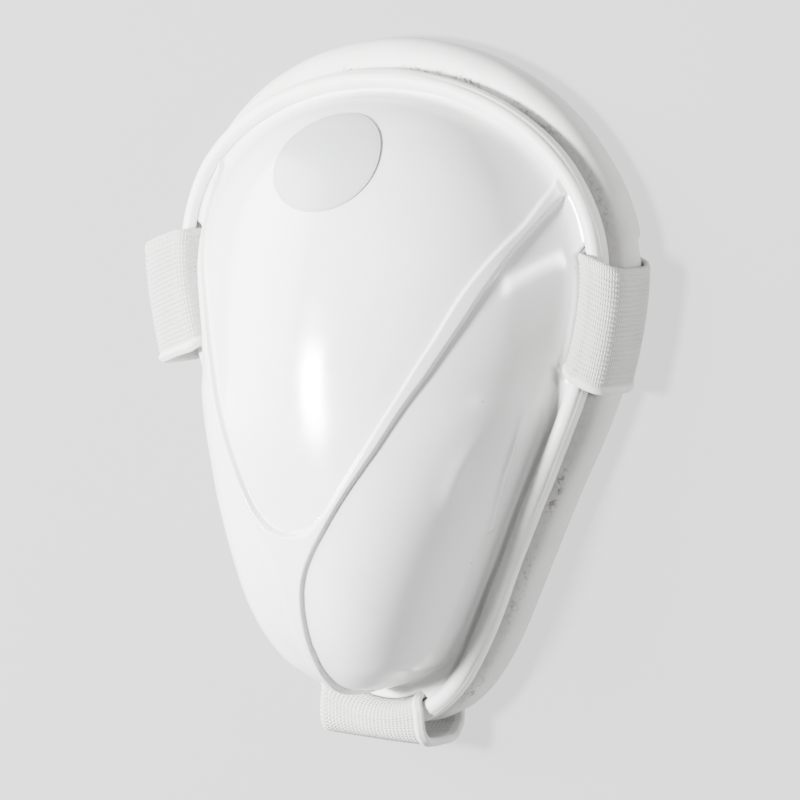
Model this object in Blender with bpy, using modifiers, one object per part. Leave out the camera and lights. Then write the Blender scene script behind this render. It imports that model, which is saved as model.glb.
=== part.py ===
"""Abdominal guard: a moulded cup with a bound edge, a padded roll and three elastic loops.

Metres, +Z up. The guard lies on its padded roll with the dome up. The waist end points
along +Y and the toe along -Y. Distances round the rim are measured from the toe, positive
on the +X side.
"""
import bpy
import bmesh
import math
from mathutils import Vector

MM = 0.001

# The rim, which every other piece follows
HALF_LENGTH = 76.45 * MM        # toe to waist end along the binding's centre, halved
RIM_WIDTH = 53.1 * MM           # half width of the rim's egg curve before its taper
RIM_TAPER = (0.617, 0.211, -0.272)
RIM_SHIFT = -0.05 * MM
RIM_PLANE = 13.0 * MM           # height of the binding's centre over the floor

# The moulded cup
CUP_HEIGHT = 38.4 * MM          # dome's top over the rim plane
CUP_TOP_AT = -0.065             # where along the guard its rings start, a share of HALF_LENGTH
FLANGE_WIDTH = 9.9 * MM         # dome's foot to the binding's centre, where that is widest
SHELL_WALL = 1.8 * MM
RIB_RISE = 1.2 * MM
RIB_ROOT = 0.8 * MM             # how far the rib's own body reaches into the wall
FLANGE_IN_BINDING = 0.4 * MM    # flange edge stops this far inside the binding's centre
FOOT_WIDTH = 1.0 * MM           # fillet between the dome's foot and the flange
FOOT_RISE = 0.9 * MM

# The sewn edge and the roll
BINDING_HALF_WIDTH = 2.4 * MM
BINDING_HALF_HEIGHT = 2.7 * MM
GAP = 0.3 * MM                  # clearance kept between neighbouring pieces
PAD_HEIGHT = RIM_PLANE - BINDING_HALF_HEIGHT - GAP
PAD_REACH = 9.5 * MM            # roll's outside from the binding's centre, at the waist end
PAD_HALF_WIDTH = 6.2 * MM       # half of the roll's width there

# The elastic
BAND_WIDTH = 30.5 * MM
BAND_THICK = 1.3 * MM
BAND_TURN = 3.4 * MM            # height of the bend where a band turns under the roll
BAND_SLACK = 5.2 * MM           # how far the slackest loop stands off the roll
SLOT_MARGIN = 0.8 * MM
SIDE_SLOT = 6.0 * MM            # flange edge behind a side loop, in from the binding's centre
TOE_SLOT = 4.9 * MM
SIDE_LOOP_AT = 24.0 * MM        # where the side loops cross the flange, along Y
RIGHT_SLIP = -3.5 * MM          # how far each side loop slides toward the toe on its outside
LEFT_SLIP = -3.9 * MM
TOE_LOOP_AT = -2.4 * MM         # how far the toe loop's middle is slid round the rim

# The round label
LABEL_RADIUS = 15.0 * MM
LABEL_THICK = 0.4 * MM
LABEL_FROM_END = 18.95 * MM     # label's centre, back from the rim's waist end
LABEL_GAP = 0.35 * MM

SPOKES = 64
DOME_RINGS = 11
LABEL_RINGS = 4
LABEL_SPOKES = 28
SHARP_ANGLE = math.radians(40)

# Dome's middle line: (along, height). Along runs from -1 at the foot by the toe to 1 at the
# foot by the waist end, height is a share of CUP_HEIGHT
MIDDLE_LINE = (
    (-1.0000, 0.000),
    (-0.9978, 0.210),
    (-0.9930, 0.340),
    (-0.9812, 0.465),
    (-0.9470, 0.586),
    (-0.8882, 0.703),
    (-0.7620, 0.849),
    (-0.6369, 0.927),
    (-0.4968, 0.969),
    (-0.4124, 0.980),
    (-0.1611, 0.998),
    (0.0217, 0.988),
    (0.3425, 0.914),
    (0.5382, 0.828),
    (0.6782, 0.745),
    (0.7969, 0.640),
    (0.9017, 0.456),
    (0.9648, 0.250),
    (0.9937, 0.078),
    (1.0000, 0.000),
)

# Along the guard, each row at a share of HALF_LENGTH:
# (along, dome's foot inside the binding's centre as a share of FLANGE_WIDTH, power of the
# cross-section's curve)
DOME_SECTIONS = (
    (-1.001, 0.657, 2.60),
    (-0.903, 0.646, 2.70),
    (-0.837, 0.525, 2.90),
    (-0.733, 0.414, 2.95),
    (-0.589, 0.364, 2.86),
    (-0.314, 0.374, 2.60),
    (-0.157, 0.404, 2.32),
    (-0.026, 0.525, 2.15),
    (0.078, 0.747, 2.02),
    (0.327, 0.949, 1.87),
    (0.523, 1.000, 1.86),
    (0.680, 0.889, 1.88),
    (0.811, 0.697, 1.95),
    (0.916, 0.485, 2.05),
    (1.001, 0.343, 2.10),
)

# Along the guard, at shares of HALF_LENGTH:
# (along, reach of the roll as a share of PAD_REACH, half width as a share of PAD_HALF_WIDTH)
PAD_SECTIONS = (
    (-1.001, 0.274, 0.516),
    (-0.863, 0.337, 0.548),
    (-0.680, 0.411, 0.597),
    (-0.471, 0.463, 0.645),
    (-0.235, 0.505, 0.694),
    (0.000, 0.589, 0.774),
    (0.262, 0.615, 0.800),
    (0.549, 0.570, 0.780),
    (0.719, 0.600, 0.800),
    (0.863, 0.780, 0.895),
    (1.001, 1.000, 1.000),
)

# Outline of the roll: (out, up), shares of its half width and of PAD_HEIGHT
PAD_OUTLINE = (
    (-0.50, 0.000),
    (0.05, 0.000),
    (0.55, 0.000),
    (0.88, 0.160),
    (1.00, 0.450),
    (0.90, 0.760),
    (0.58, 0.950),
    (0.00, 1.000),
    (-0.56, 0.950),
    (-0.90, 0.760),
    (-1.00, 0.450),
    (-0.86, 0.150),
)

# Right half of the rib's plan from the cup's middle:
# (across as a share of RIM_WIDTH, along as a share of HALF_LENGTH)
RIB_INNER_EDGE = (
    (0.930, 0.717),
    (0.911, 0.661),
    (0.870, 0.585),
    (0.821, 0.511),
    (0.711, 0.366),
    (0.629, 0.241),
    (0.564, 0.150),
    (0.502, 0.060),
    (0.432, -0.031),
    (0.353, -0.127),
    (0.271, -0.218),
    (0.196, -0.296),
    (0.124, -0.343),
    (0.060, -0.364),
)
RIB_OUTER_EDGE = (
    (0.991, 0.662),
    (0.968, 0.623),
    (0.930, 0.570),
    (0.883, 0.509),
    (0.766, 0.327),
    (0.636, 0.150),
    (0.570, 0.068),
    (0.501, -0.020),
    (0.428, -0.107),
    (0.311, -0.230),
    (0.206, -0.343),
    (0.117, -0.445),
    (0.075, -0.510),
    (0.053, -0.576),
    (0.035, -0.693),
    (0.028, -0.811),
    (0.022, -0.940),
)

# A band's middle line where it turns under the roll: (out, up), shares of BAND_TURN
BAND_INNER_TURN = (
    (0.47, 0.00),
    (0.09, 0.32),
    (0.00, 1.00),
)
BAND_OUTER_TURN = (
    (0.38, 0.47),
    (0.94, 0.00),
)

# Its shoulder outside the binding: (out from the crest as a share of the way to the outer leg,
# down from the top as a share of BAND_TURN)
BAND_SHOULDER = (
    (0.00, 0.03),
    (0.45, 0.12),
    (0.80, 0.47),
    (0.97, 1.24),
)

# Each loop: width as a share of BAND_WIDTH, how far it stands off the roll and over the binding
# as shares of BAND_SLACK, and how straight it runs outside, 0 along the rim and 1 in a line
LOOP_FORMS = {
    "toe_loop": (1.07, 0.36, 0.04, 0.95),
    "right_loop": (1.00, 0.05, 0.05, 0.30),
    "left_loop": (1.00, 1.00, 0.45, 0.30),
}


def clear_scene():
    for thing in list(bpy.data.objects):
        bpy.data.objects.remove(thing, do_unlink=True)
    for group in list(bpy.data.collections):
        bpy.data.collections.remove(group)


def new_collection(name):
    group = bpy.data.collections.new(name)
    bpy.context.scene.collection.children.link(group)
    return group


def new_material(name, colour, roughness, metallic=0.0):
    material = bpy.data.materials.new(name)
    material.use_nodes = True
    shader = material.node_tree.nodes["Principled BSDF"]
    shader.inputs["Base Color"].default_value = (*colour, 1.0)
    shader.inputs["Roughness"].default_value = roughness
    shader.inputs["Metallic"].default_value = metallic
    material.diffuse_color = (*colour, 1.0)
    return material


def smooth_table(rows, at, column=1):
    """Value of one column at a place along the first, on a curve that never overshoots."""
    places = [row[0] for row in rows]
    values = [row[column] for row in rows]
    if at <= places[0]:
        return values[0]
    if at >= places[-1]:
        return values[-1]
    slopes = [(values[i + 1] - values[i]) / (places[i + 1] - places[i])
              for i in range(len(rows) - 1)]
    k = max(i for i in range(len(rows) - 1) if places[i] <= at)

    def tangent(i):
        if i == 0:
            return slopes[0]
        if i == len(slopes):
            return slopes[-1]
        before, after = slopes[i - 1], slopes[i]
        if before * after <= 0:
            return 0.0
        return 2 * before * after / (before + after)

    span = places[k + 1] - places[k]
    t = (at - places[k]) / span
    return ((2 * t**3 - 3 * t**2 + 1) * values[k]
            + (t**3 - 2 * t**2 + t) * span * tangent(k)
            + (3 * t**2 - 2 * t**3) * values[k + 1]
            + (t**3 - t**2) * span * tangent(k + 1))


# The rim curve and places on it

def rim_point(turn):
    """Centre of the binding at an angle of turn, 0 at the +X side and rising toward +Y."""
    rise = math.sin(turn)
    taper = 1 + sum(k * rise**(i + 1) for i, k in enumerate(RIM_TAPER))
    return Vector((RIM_WIDTH * math.cos(turn) * taper, RIM_SHIFT + HALF_LENGTH * rise))


def rim_outward(turn):
    step = 0.001
    along = rim_point(turn + step) - rim_point(turn - step)
    return Vector((along.y, -along.x)).normalized()


def rim_distances(count=2880):
    """Distance round the rim from the toe at evenly spaced turns."""
    turns = [-math.pi / 2 + 2 * math.pi * i / count for i in range(count + 1)]
    gone = [0.0]
    for first, second in zip(turns, turns[1:]):
        gone.append(gone[-1] + (rim_point(second) - rim_point(first)).length)
    return turns, gone


RIM_TURNS, RIM_GONE = rim_distances()
RIM_LENGTH = RIM_GONE[-1]


def turn_at(distance):
    distance %= RIM_LENGTH
    low, high = 0, len(RIM_GONE) - 1
    while high - low > 1:
        middle = (low + high) // 2
        if RIM_GONE[middle] <= distance:
            low = middle
        else:
            high = middle
    share = (distance - RIM_GONE[low]) / (RIM_GONE[high] - RIM_GONE[low])
    return RIM_TURNS[low] + share * (RIM_TURNS[high] - RIM_TURNS[low])


def distance_at(along):
    """Distance round the +X side to the place at a given Y."""
    return next(gone for turn, gone in zip(RIM_TURNS, RIM_GONE) if rim_point(turn).y >= along)


def rim_place(distance, out, up):
    """A point beside the rim: out from the binding's centre, up from the floor."""
    turn = turn_at(distance)
    spot = rim_point(turn) + rim_outward(turn) * out
    return Vector((spot.x, spot.y, up))


# The dome's surface

def dome_foot(turn):
    spot = rim_point(turn)
    inset = smooth_table(DOME_SECTIONS, spot.y / HALF_LENGTH, 1) * FLANGE_WIDTH
    return spot - rim_outward(turn) * inset


FOOT_HALF = [dome_foot(turn) for turn, gone in zip(RIM_TURNS, RIM_GONE) if gone <= RIM_LENGTH / 2]


def foot_half_width(along):
    low, high = 0, len(FOOT_HALF) - 1
    if along <= FOOT_HALF[low].y or along >= FOOT_HALF[high].y:
        return 0.0
    while high - low > 1:
        middle = (low + high) // 2
        if FOOT_HALF[middle].y <= along:
            low = middle
        else:
            high = middle
    share = (along - FOOT_HALF[low].y) / (FOOT_HALF[high].y - FOOT_HALF[low].y)
    return FOOT_HALF[low].x + share * (FOOT_HALF[high].x - FOOT_HALF[low].x)


def dome_height(across, along):
    """Height of the cup's outside over the rim plane."""
    half_width = foot_half_width(along)
    if half_width <= abs(across):
        return 0.0
    toe, waist = FOOT_HALF[0].y, FOOT_HALF[-1].y
    run = (2 * along - toe - waist) / (waist - toe)
    power = smooth_table(DOME_SECTIONS, along / HALF_LENGTH, 2)
    top = smooth_table(MIDDLE_LINE, run) * CUP_HEIGHT
    return top * (1 - (abs(across) / half_width)**power)**(1 / power)


# Building blocks

def mesh_object(name, mesh, group, material=None):
    thing = bpy.data.objects.new(name, mesh)
    group.objects.link(thing)
    if material:
        mesh.materials.append(material)
    return thing


def loft(name, rings, closed_run=False, centre=None, capped=False):
    """Skin between rings of equal count, each ring closed on itself."""
    shape = bmesh.new()
    loops = [[shape.verts.new(point) for point in ring] for ring in rings]
    count = len(rings[0])
    pairs = list(zip(loops, loops[1:]))
    if closed_run:
        pairs.append((loops[-1], loops[0]))
    for first, second in pairs:
        for i in range(count):
            j = (i + 1) % count
            shape.faces.new((first[i], first[j], second[j], second[i]))
    if centre is not None:
        hub = shape.verts.new(centre)
        for i in range(count):
            shape.faces.new((hub, loops[0][(i + 1) % count], loops[0][i]))
    if capped:
        shape.faces.new(loops[0])
        shape.faces.new(loops[-1])
    bmesh.ops.recalc_face_normals(shape, faces=shape.faces)
    mesh = bpy.data.meshes.new(name)
    shape.to_mesh(mesh)
    shape.free()
    return mesh


def face_up(mesh):
    """Turn an open surface's normals so that they point up."""
    if sum(face.normal.z * face.area for face in mesh.polygons) < 0:
        mesh.flip_normals()


def thicken(thing, thickness, offset):
    skin = thing.modifiers.new("Thickness", "SOLIDIFY")
    skin.thickness = thickness
    skin.offset = offset
    skin.use_even_offset = True
    skin.use_quality_normals = True
    return skin


def combine(thing, other, operation):
    cut = thing.modifiers.new(operation.title() + " " + other.name, "BOOLEAN")
    cut.operation = operation
    cut.solver = "EXACT"
    cut.object = other


def hide_cutter(thing):
    thing.hide_render = True
    thing.display_type = "WIRE"


def shade(thing):
    thing.data.polygons.foreach_set("use_smooth", [True] * len(thing.data.polygons))
    thing.data.set_sharp_from_angle(angle=SHARP_ANGLE)


# The moulded cup: dome, flange, rib and the three strap slots in one moulding

def cup_surface(name):
    """Outside of the cup from the dome's middle to the flange's edge."""
    middle = Vector((0.0, CUP_TOP_AT * HALF_LENGTH))
    flange_top = SHELL_WALL / 2
    turns = [turn_at(RIM_LENGTH * i / SPOKES) for i in range(SPOKES)]
    feet = [dome_foot(turn) for turn in turns]
    rings = []
    for ring in range(1, DOME_RINGS + 1):
        share = math.sin(math.pi / 2 * ring / (DOME_RINGS + 1))
        spots = [middle.lerp(foot, share) for foot in feet]
        rings.append([(s.x, s.y, RIM_PLANE + dome_height(s.x, s.y)) for s in spots])
    base = RIM_PLANE + flange_top
    fillet = ((0.15 * FOOT_WIDTH, base + FOOT_RISE), (FOOT_WIDTH, base))
    for out, up in fillet:
        spots = [foot + rim_outward(turn) * out for foot, turn in zip(feet, turns)]
        rings.append([(s.x, s.y, up) for s in spots])
    edge = [rim_point(turn) - rim_outward(turn) * FLANGE_IN_BINDING for turn in turns]
    rings.append([(s.x, s.y, base) for s in edge])
    top = (middle.x, middle.y, RIM_PLANE + dome_height(middle.x, middle.y))
    mesh = loft(name, rings, centre=top)
    face_up(mesh)
    return mesh


def rib_prism(group):
    """Upright prism over the rib's plan: two arms from the waist end and one tail to the toe."""
    right = list(reversed(RIB_INNER_EDGE)) + list(RIB_OUTER_EDGE)
    left = [(-across, along) for across, along in reversed(right)]
    outline = right + left
    curve = bpy.data.curves.new("rib_plan", "CURVE")
    curve.dimensions = "2D"
    curve.fill_mode = "BOTH"
    curve.extrude = CUP_HEIGHT
    line = curve.splines.new("POLY")
    line.points.add(len(outline) - 1)
    line.use_cyclic_u = True
    for point, (across, along) in zip(line.points, outline):
        point.co = (across * RIM_WIDTH, along * HALF_LENGTH, 0.0, 1.0)
    drawn = bpy.data.objects.new("rib_plan", curve)
    group.objects.link(drawn)
    bpy.context.view_layer.update()
    mesh = bpy.data.meshes.new_from_object(drawn)
    bpy.data.objects.remove(drawn)
    shape = bmesh.new()
    shape.from_mesh(mesh)
    bmesh.ops.remove_doubles(shape, verts=shape.verts, dist=1e-6)
    bmesh.ops.recalc_face_normals(shape, faces=shape.faces)
    shape.to_mesh(mesh)
    shape.free()
    prism = mesh_object("rib_plan", mesh, group)
    prism.location.z = RIM_PLANE + CUP_HEIGHT / 2
    hide_cutter(prism)
    return prism


def band_width(name):
    return LOOP_FORMS[name][0] * BAND_WIDTH


def slot_cutter(name, loop, centre, slot, group):
    """Block that notches the flange behind a loop, following the rim."""
    reach = band_width(loop) / 2 + SLOT_MARGIN
    deep = 3 * SHELL_WALL
    steps = 6
    rings = []
    for i in range(steps + 1):
        distance = centre - reach + 2 * reach * i / steps
        corners = ((-slot, -deep), (-slot, deep), (BINDING_HALF_WIDTH, deep), (BINDING_HALF_WIDTH, -deep))
        rings.append([rim_place(distance, out, RIM_PLANE + up) for out, up in corners])
    cutter = mesh_object(name, loft(name, rings, capped=True), group)
    hide_cutter(cutter)
    return cutter


def build_shell(parts, cutters):
    plastic = new_material("moulded_plastic", (0.88, 0.88, 0.87), 0.22)
    shell = mesh_object("shell", cup_surface("shell"), parts, plastic)
    thicken(shell, SHELL_WALL, -1.0)

    rib = mesh_object("rib_skin", cup_surface("rib_skin"), cutters)
    thicken(rib, RIB_RISE + RIB_ROOT, (RIB_RISE - RIB_ROOT) / (RIB_RISE + RIB_ROOT))
    combine(rib, rib_prism(cutters), "INTERSECT")
    hide_cutter(rib)
    combine(shell, rib, "UNION")

    for name, loop, centre, slot in (
        ("toe_slot", "toe_loop", TOE_LOOP_AT, TOE_SLOT),
        ("right_slot", "right_loop", distance_at(SIDE_LOOP_AT), SIDE_SLOT),
        ("left_slot", "left_loop", -distance_at(SIDE_LOOP_AT), SIDE_SLOT),
    ):
        combine(shell, slot_cutter(name, loop, centre, slot, cutters), "DIFFERENCE")
    shade(shell)
    return shell


# The sewn edge: a folded strip whose groove takes the flange

def build_binding(parts):
    leather = new_material("binding_leather", (0.84, 0.83, 0.80), 0.42)
    groove = SHELL_WALL / 2 + GAP
    groove_end = GAP - FLANGE_IN_BINDING
    arc = 9
    start = math.pi - math.asin(groove / BINDING_HALF_HEIGHT)
    outline = [(groove_end, -groove), (groove_end, groove)]
    for i in range(arc):
        angle = start - 2 * start * i / (arc - 1)
        outline.append((BINDING_HALF_WIDTH * math.cos(angle), BINDING_HALF_HEIGHT * math.sin(angle)))
    rings = []
    for i in range(SPOKES):
        distance = RIM_LENGTH * i / SPOKES
        rings.append([rim_place(distance, out, RIM_PLANE + up) for out, up in outline])
    binding = mesh_object("rim_binding", loft("rim_binding", rings, closed_run=True), parts, leather)
    shade(binding)
    return binding


# The stuffed roll, flat where it bears and let in where the loops pass under it

def pad_reach(distance):
    share = smooth_table(PAD_SECTIONS, rim_point(turn_at(distance)).y / HALF_LENGTH, 1)
    return share * PAD_REACH


def pad_half_width(distance):
    share = smooth_table(PAD_SECTIONS, rim_point(turn_at(distance)).y / HALF_LENGTH, 2)
    return share * PAD_HALF_WIDTH


def loop_centres():
    """Each loop's name, its place round the rim and how far it slides on its outside."""
    side = distance_at(SIDE_LOOP_AT)
    return (
        ("toe_loop", TOE_LOOP_AT, 0.0),
        ("right_loop", side, RIGHT_SLIP),
        ("left_loop", RIM_LENGTH - side, -LEFT_SLIP),
    )


def build_pad(parts):
    leather = new_material("pad_leather", (0.82, 0.81, 0.78), 0.48)
    recess = BAND_THICK + GAP
    ramp = 2 * GAP
    spans = []
    for name, centre, slip in loop_centres():
        reach = band_width(name) / 2 + SLOT_MARGIN
        spans.append((centre - reach + min(slip, 0.0), centre + reach + max(slip, 0.0)))
    edges = [mark for first, last in spans for mark in (first - ramp, first, last, last + ramp)]
    edges = [mark % RIM_LENGTH for mark in edges]
    even = [RIM_LENGTH * i / SPOKES for i in range(SPOKES)]
    near = RIM_LENGTH / SPOKES / 3
    stations = edges + [mark for mark in even if all(abs(mark - edge) > near for edge in edges)]
    rings = []
    for distance in sorted(stations):
        half = pad_half_width(distance)
        out_centre = pad_reach(distance) - half
        over_band = any(first - 1e-6 <= place <= last + 1e-6 for first, last in spans
                        for place in (distance, distance - RIM_LENGTH))
        floor = recess if over_band else 0.0
        rings.append([
            rim_place(distance, out_centre + out * half, floor + up * (PAD_HEIGHT - floor))
            for out, up in PAD_OUTLINE
        ])
    pad = mesh_object("rim_pad", loft("rim_pad", rings, closed_run=True), parts, leather)
    shade(pad)
    return pad


# The elastic loops: closed bands through the flange's slots and round binding and roll

def loop_path(centre, bulge, lift):
    """Middle line of a band in section, (out, up) from its underside round the inside."""
    half = pad_half_width(centre)
    stand = GAP + BAND_THICK / 2
    inner = pad_reach(centre) - 2 * half - stand
    outer = pad_reach(centre) + stand + bulge
    top = RIM_PLANE + BINDING_HALF_HEIGHT + stand + lift
    low = BAND_THICK / 2
    slot_line = -BINDING_HALF_WIDTH - stand
    crest = 0.42 * BINDING_HALF_WIDTH
    path = [(inner + out * BAND_TURN, low + up * BAND_TURN) for out, up in BAND_INNER_TURN]
    path += [
        (inner, PAD_HEIGHT * 0.80),
        (slot_line, RIM_PLANE - 0.55 * BINDING_HALF_HEIGHT),
        (slot_line, RIM_PLANE + 0.52 * BINDING_HALF_HEIGHT),
        (slot_line + 0.50 * BINDING_HALF_WIDTH, top - 0.26 * BINDING_HALF_HEIGHT),
        (slot_line + 1.25 * BINDING_HALF_WIDTH, top),
    ]
    path += [(crest + out * (outer - crest), top - down * BAND_TURN) for out, down in BAND_SHOULDER]
    path += [(outer, PAD_HEIGHT * 0.72), (outer - 0.06 * BAND_TURN, PAD_HEIGHT * 0.42)]
    path += [(outer - out * BAND_TURN, low + up * BAND_TURN) for out, up in BAND_OUTER_TURN]
    return path


def rim_bend(distance):
    """Radius that the rim turns on at a place, over a band's width."""
    reach = BAND_WIDTH / 2
    first = rim_outward(turn_at(distance - reach))
    last = rim_outward(turn_at(distance + reach))
    return 2 * reach / first.angle(last)


def build_loop(name, centre, slip, parts, material):
    """Band whose inside follows the rim and whose outside runs straighter."""
    _, bulge, lift, straight = LOOP_FORMS[name]
    anchor = 0.0 if name == "toe_loop" else centre
    path = loop_path(centre, bulge * BAND_SLACK, lift * BAND_SLACK)
    inside = min(out for out, _ in path)
    outside = max(out for out, _ in path)
    bend = rim_bend(anchor)
    outward = rim_outward(turn_at(anchor))
    along = Vector((-outward.y, outward.x, 0.0))
    steps = 6
    rings = []
    for i in range(steps + 1):
        across = band_width(name) * (i / steps - 0.5)
        ring = []
        for out, up in path:
            share = (out - inside) / (outside - inside)
            place = centre - anchor + across + slip * share
            curved = rim_place(anchor + place / (1 + max(out, 0.0) / bend), out, up)
            level = rim_place(anchor, out, up) + along * place
            ring.append(curved.lerp(level, straight * max(out, 0.0) / outside))
        rings.append(ring)
    band = mesh_object(name, loft(name, rings), parts, material)
    thicken(band, BAND_THICK, 0.0)
    shade(band)
    return band


def build_loops(parts):
    elastic = new_material("elastic", (0.86, 0.86, 0.85), 0.8)
    for name, centre, slip in loop_centres():
        build_loop(name, centre, slip, parts, elastic)


# The round label, a clear disc draped on the dome and left blank

def over_dome(across, along, stand):
    """A point standing off the dome's outside, square to it."""
    step = 0.01 * LABEL_RADIUS
    side = dome_height(across + step, along) - dome_height(across - step, along)
    rise = dome_height(across, along + step) - dome_height(across, along - step)
    square = Vector((-side, -rise, 2 * step)).normalized()
    return Vector((across, along, RIM_PLANE + dome_height(across, along))) + square * stand


def build_label(parts):
    film = new_material("clear_film", (0.80, 0.81, 0.80), 0.30)
    label_at = HALF_LENGTH - LABEL_FROM_END
    back, front = [over_dome(0.0, label_at + reach, 0.0) for reach in (-LABEL_RADIUS, LABEL_RADIUS)]
    lean = (front.y - back.y) / (front - back).length
    rings = []
    for row in range(1, LABEL_RINGS + 1):
        radius = LABEL_RADIUS * row / LABEL_RINGS
        ring = []
        for i in range(LABEL_SPOKES):
            angle = 2 * math.pi * i / LABEL_SPOKES
            across = radius * math.cos(angle)
            along = label_at + radius * math.sin(angle) * lean
            ring.append(over_dome(across, along, LABEL_GAP))
        rings.append(ring)
    mesh = loft("label", rings, centre=over_dome(0.0, label_at, LABEL_GAP))
    face_up(mesh)
    label = mesh_object("label", mesh, parts, film)
    thicken(label, LABEL_THICK, 1.0)
    shade(label)
    return label


# The whole guard stands with its box's middle over the origin

def centre_over_origin(parts, cutters):
    bpy.context.view_layer.update()
    seen = bpy.context.evaluated_depsgraph_get()
    corners = [thing.evaluated_get(seen).matrix_world @ Vector(corner)
               for thing in parts.objects for corner in thing.evaluated_get(seen).bound_box]
    base = bpy.data.objects.new("guard_base", None)
    parts.objects.link(base)
    for thing in list(parts.objects) + list(cutters.objects):
        if thing is not base:
            thing.parent = base
    base.location.x = -(min(c.x for c in corners) + max(c.x for c in corners)) / 2
    base.location.y = -(min(c.y for c in corners) + max(c.y for c in corners)) / 2


clear_scene()
guard = new_collection("abdominal_guard")
cutting = new_collection("cutters")
build_shell(guard, cutting)
build_binding(guard)
build_pad(guard)
build_loops(guard)
build_label(guard)
centre_over_origin(guard, cutting)
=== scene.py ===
"""Cricket abdominal guard, as it lies in the studio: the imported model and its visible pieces."""
import bpy
import math
from mathutils import Vector, Matrix, noise
from mathutils.kdtree import KDTree


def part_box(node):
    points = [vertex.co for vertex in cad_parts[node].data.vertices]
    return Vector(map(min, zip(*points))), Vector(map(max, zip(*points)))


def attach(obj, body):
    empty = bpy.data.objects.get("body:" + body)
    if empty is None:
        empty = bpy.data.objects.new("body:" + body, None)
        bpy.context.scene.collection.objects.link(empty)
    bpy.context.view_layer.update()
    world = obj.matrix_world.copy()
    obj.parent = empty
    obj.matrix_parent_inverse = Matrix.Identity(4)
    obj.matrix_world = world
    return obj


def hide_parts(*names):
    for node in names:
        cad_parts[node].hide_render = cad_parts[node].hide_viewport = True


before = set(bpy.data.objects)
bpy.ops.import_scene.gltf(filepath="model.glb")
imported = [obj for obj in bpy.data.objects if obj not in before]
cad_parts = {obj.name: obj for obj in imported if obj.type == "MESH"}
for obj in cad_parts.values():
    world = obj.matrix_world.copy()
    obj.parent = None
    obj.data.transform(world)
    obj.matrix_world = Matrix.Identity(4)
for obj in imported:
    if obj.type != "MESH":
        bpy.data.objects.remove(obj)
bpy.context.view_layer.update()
bpy.ops.object.select_all(action="DESELECT")


# The moulded cup
# Injection moulded polypropylene, white and glossy, with its flat flange and the raised rib
# that runs from two arms at the waist end into one tail at the toe. Everything else is fixed
# to the flange's edge.

MM = 0.001
HALF_LENGTH = 76.45 * MM
RIM_WIDTH = 53.1 * MM
RIM_TAPER = (0.617, 0.211, -0.272)
RIM_SHIFT = -0.05 * MM
RIM_PLANE = 13.0 * MM
CUP_HEIGHT = 38.4 * MM
CUP_TOP_AT = -0.065
SHELL_WALL = 1.8 * MM
FLANGE_WIDTH = 9.9 * MM
FLANGE_IN_BINDING = 0.4 * MM
FOOT_FILLET = 1.3 * MM
FLARE_FOOT = 3.2 * MM
FLARE_BEGINS = -0.15
FLARE_FULL = 0.30
FLARE_DEPTH = 6 * MM
FLARE_TRIES = 200
FLANGE_RINGS = 7
FLANGE_SPAN = 0.1
FLANGE_CROWDING = 1.6
RIB_RISE = 1.2 * MM
RIB_SLOPE = 0.60 * MM
RIB_DETAIL_REACH = 1.7 * MM
FLANK_LINE_RISE = 0.52 * MM
FLANK_LINE_HALF_WIDTH = 0.9 * MM
FLANK_CREST_RISE = 0.42 * MM
FLANK_CREST_HALF_WIDTH = 2.2 * MM
LINE_DETAIL_REACH = 2.6 * MM
GATE_DENT = 0.6 * MM
GATE_RADIUS = 0.8 * MM
GATE_BEYOND_LINE = 1.3 * MM
LIFT_EVENED_OVER = 1.5 * MM
WAVE_LENGTH = 22 * MM
WAVE_RISE = 0.12 * MM
SIDE_LOOP_AT = 24.0 * MM
BAND_WIDTH = 30.5 * MM
SIDE_NOTCH_DEPTH = 4.7 * MM
TOE_NOTCH_DEPTH = 4.5 * MM
SLOT_MARGIN = 0.3 * MM
SLOT_RAMP = 0.9 * MM
TOE_LOOP_AT = -2.4 * MM
TOE_BAND_SHARE = 1.07
RIM_STEPS = 2880
CURVE_STEPS = 40

# Dome's middle line: (run from foot to foot, height as a share of CUP_HEIGHT)
MIDDLE_LINE = (
    (-1.0000, 0.000),
    (-0.9978, 0.210),
    (-0.9915, 0.340),
    (-0.9797, 0.465),
    (-0.9455, 0.586),
    (-0.8867, 0.703),
    (-0.7605, 0.849),
    (-0.6354, 0.927),
    (-0.4953, 0.969),
    (-0.4108, 0.980),
    (-0.1596, 0.998),
    (0.0232, 0.988),
    (0.3440, 0.914),
    (0.5397, 0.828),
    (0.6797, 0.745),
    (0.7984, 0.640),
    (0.9032, 0.456),
    (0.9662, 0.250),
    (0.9951, 0.078),
    (1.0000, 0.000),
)

# Along the guard at shares of HALF_LENGTH:
# (along, foot inside the edge as a share of FLANGE_WIDTH, power of the cross-section's curve)
DOME_SECTIONS = (
    (-1.001, 0.757, 2.60),
    (-0.903, 0.676, 2.70),
    (-0.837, 0.525, 2.90),
    (-0.733, 0.464, 2.95),
    (-0.589, 0.424, 2.86),
    (-0.314, 0.434, 2.60),
    (-0.157, 0.454, 2.32),
    (-0.026, 0.525, 2.15),
    (0.078, 0.747, 2.02),
    (0.327, 0.949, 1.87),
    (0.523, 1.000, 1.86),
    (0.680, 0.889, 1.88),
    (0.811, 0.697, 1.95),
    (0.916, 0.485, 2.05),
    (1.001, 0.343, 2.10),
)

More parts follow.
